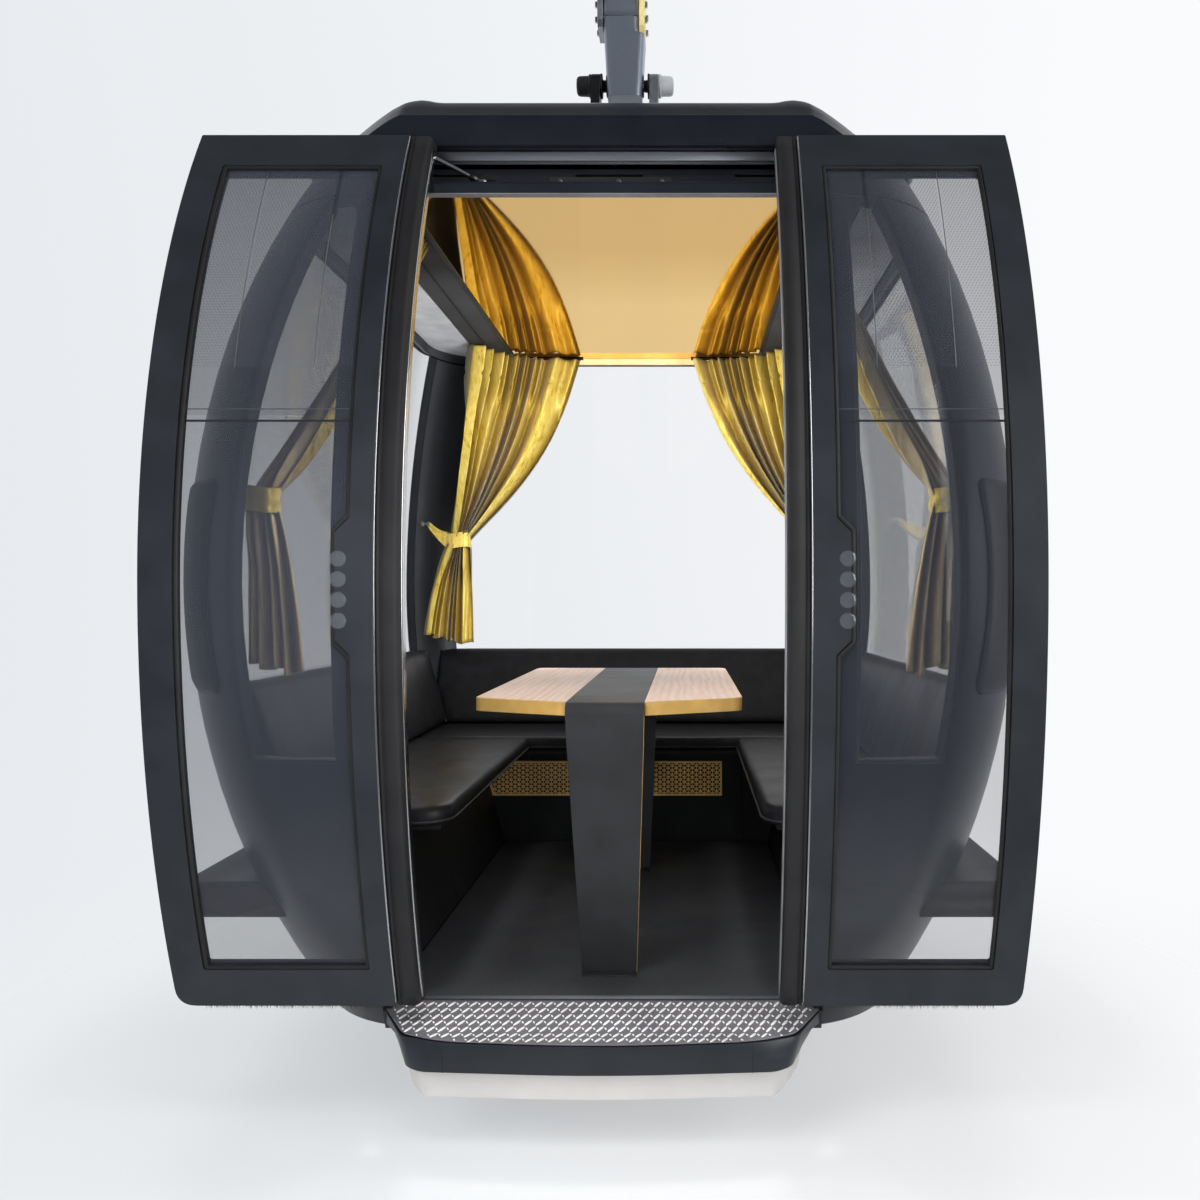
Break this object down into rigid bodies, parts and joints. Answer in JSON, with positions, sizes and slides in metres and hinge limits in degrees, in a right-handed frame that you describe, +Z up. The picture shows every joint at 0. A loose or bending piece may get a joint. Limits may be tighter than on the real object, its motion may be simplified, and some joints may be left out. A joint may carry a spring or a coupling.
{
  "type": "aerial tramway cabin",
  "caption": "Barrel-shaped gondola cabin with open sliding door leaves, lounge seating, curtains and table, hung by a curved hanger from a rope grip with running wheels.",
  "frame": {"origin": "centre of the haul rope in the grip's jaws", "axes": "+Z up, X along the rope, -Y towards the side with the doors"},
  "size_m": [2.064, 2.46, 4.8],
  "materials": {
    "body_paint": "satin black coat",
    "black_plastic": "fine-grained moulding",
    "black_metal": "powder-coated folded plate",
    "liner": "felt-like dark liner",
    "rubber": "matt black rubber",
    "glass": "grey-tinted safety glass",
    "gold_mirror": "brushed gold mirror sheet",
    "gold_grille": "perforated gold sheet",
    "leather": "black grained upholstery",
    "curtain": "gold satin",
    "wood": "taupe oak with a brass edge",
    "steel": "brushed",
    "galvanised": "hot-dip galvanised",
    "yellow_paint": "pale yellow paint",
    "floor_mat": "dark grey needle-felt mat",
    "tread_plate": "raised-bar tread plate",
    "pale_metal": "pale brushed sheet",
    "wheel_tyre": "polyurethane-tyred running wheel"
  },
  "bodies": {
    "grip": {"grip_body": "galvanised", "grip_springs": "black_metal", "friction_plate": "steel"},
    "cabin": {"front_left_corner": "body_paint", "left_end_panel": "body_paint", "left_window": "glass", "front_left_window": "glass", "left_roof_liner": "liner", "left_bumper": "rubber", "left_door_frame": "body_paint", "left_door_glass": "glass", "left_door_seal": "rubber", "left_bench_base": "black_plastic", "left_seat": "leather", "left_backrest": "leather", "table_left_leaf": "wood", "front_left_curtain": "curtain", "rear_left_curtain": "curtain", "front_right_corner": "body_paint", "right_end_panel": "body_paint", "right_window": "glass", "front_right_window": "glass", "right_roof_liner": "liner", "right_bumper": "rubber", "right_door_frame": "body_paint", "right_door_glass": "glass", "right_door_seal": "rubber", "right_bench_base": "black_plastic", "right_seat": "leather", "right_backrest": "leather", "table_right_leaf": "wood", "front_right_curtain": "curtain", "rear_right_curtain": "curtain", "rear_wall": "body_paint", "rear_window": "glass", "roof": "body_paint", "ceiling_panel": "gold_mirror", "door_header": "body_paint", "door_drive": "steel", "floor_pan": "black_plastic", "floor_mat": "floor_mat", "underframe": "galvanised", "step_frame": "black_plastic", "step_tread": "tread_plate", "step_skirt": "pale_metal", "rear_bench_base": "black_plastic", "bench_grille": "gold_grille", "rear_seat": "leather", "rear_backrest": "leather", "table_stand": "black_metal", "roof_frame": "galvanised", "suspension_pin": "rubber", "hanger_tube": "galvanised", "hanger_clamp": "yellow_paint", "hanger_arm": "galvanised"},
    "outer_wheel": {"outer_running_wheel": "wheel_tyre"},
    "inner_wheel": {"inner_running_wheel": "wheel_tyre"},
    "jaw": {"grip_jaw": "steel"}
  },
  "joints": [
    {"name": "hanger_swing", "type": "hinge", "parent": "grip", "child": "cabin", "pos_m": [0, -0.25, -0.04], "axis": [0, 1, 0], "range_deg": [-35, 35]},
    {"name": "outer_wheel_spin", "type": "hinge", "parent": "grip", "child": "outer_wheel", "pos_m": [0, -0.262, 0.11], "axis": [0, 1, 0], "continuous": true},
    {"name": "inner_wheel_spin", "type": "hinge", "parent": "grip", "child": "inner_wheel", "pos_m": [0, 0.104, 0.11], "axis": [0, 1, 0], "continuous": true},
    {"name": "jaw_open", "type": "hinge", "parent": "grip", "child": "jaw", "pos_m": [0, 0.058, 0.048], "axis": [1, 0, 0], "range_deg": [0, 24], "stiffness_Nm_per_rad": 200, "springref_deg": -5.73}
  ]
}
